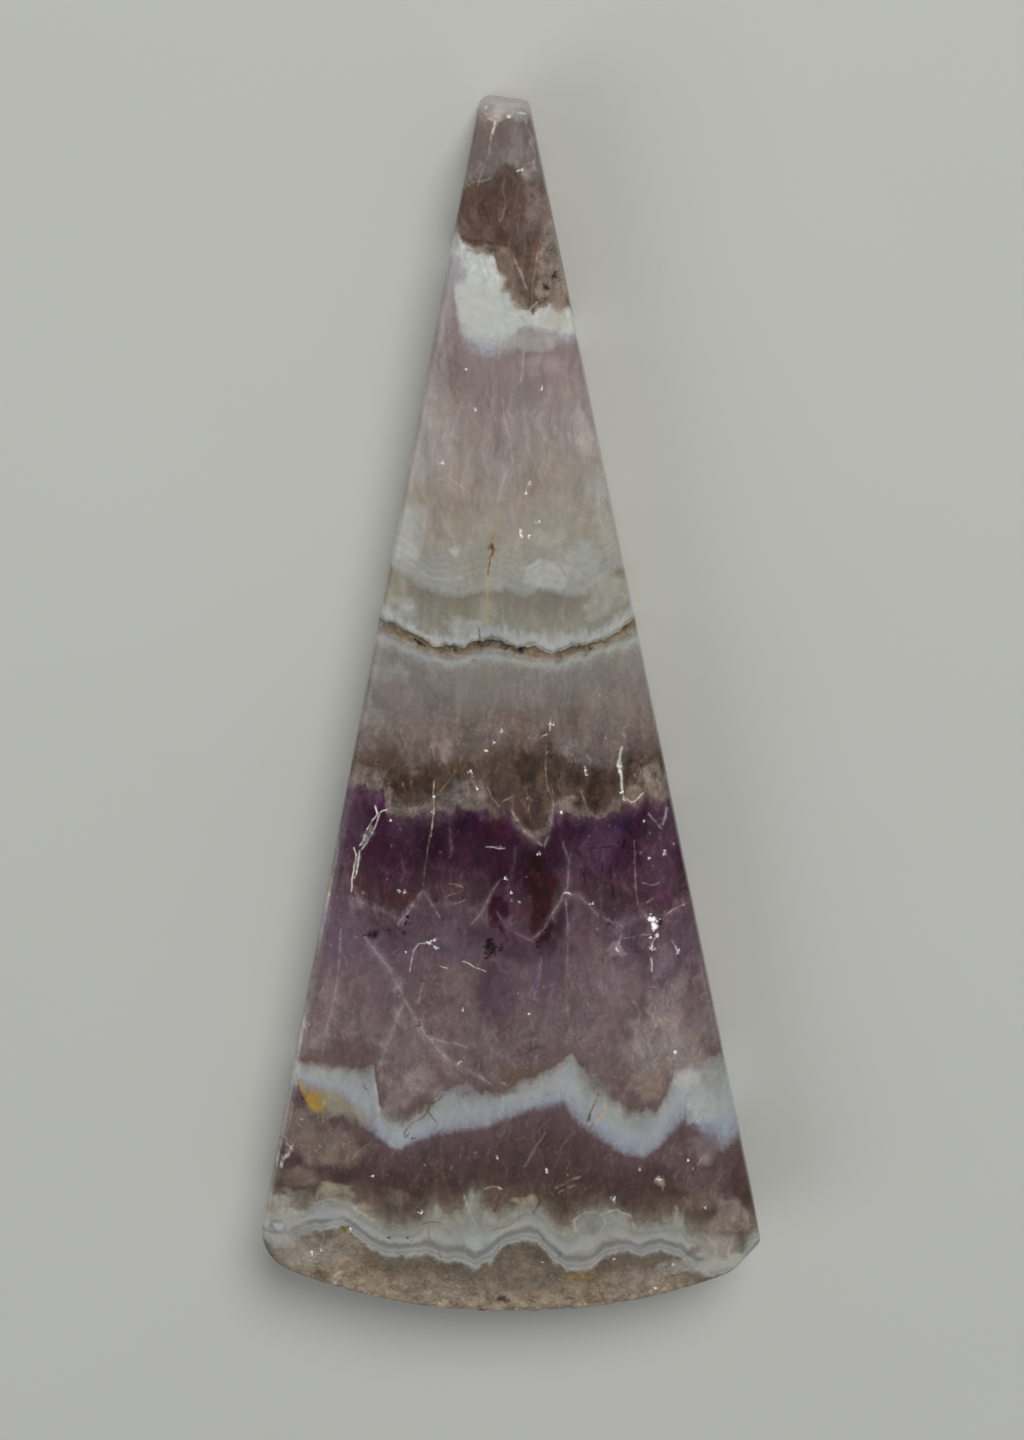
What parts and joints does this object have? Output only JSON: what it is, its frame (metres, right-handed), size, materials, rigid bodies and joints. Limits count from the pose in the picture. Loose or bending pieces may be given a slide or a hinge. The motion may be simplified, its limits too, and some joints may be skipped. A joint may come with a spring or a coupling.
{
  "type": "chevron amethyst cabochon",
  "caption": "Long tapering wedge of banded amethyst with a low polished dome, a flat back, a rounded broad end and a blunt narrow tip.",
  "frame": {"origin": "middle of the stone's length and width, on the plane of its flat back", "axes": "X across the stone, +Y along it towards the narrow tip, +Z out of the polished face"},
  "size_m": [0.0234, 0.0559, 0.0049],
  "materials": {
    "amethyst": "polished"
  },
  "bodies": {
    "root": {"cabochon": "amethyst"}
  },
  "joints": []
}
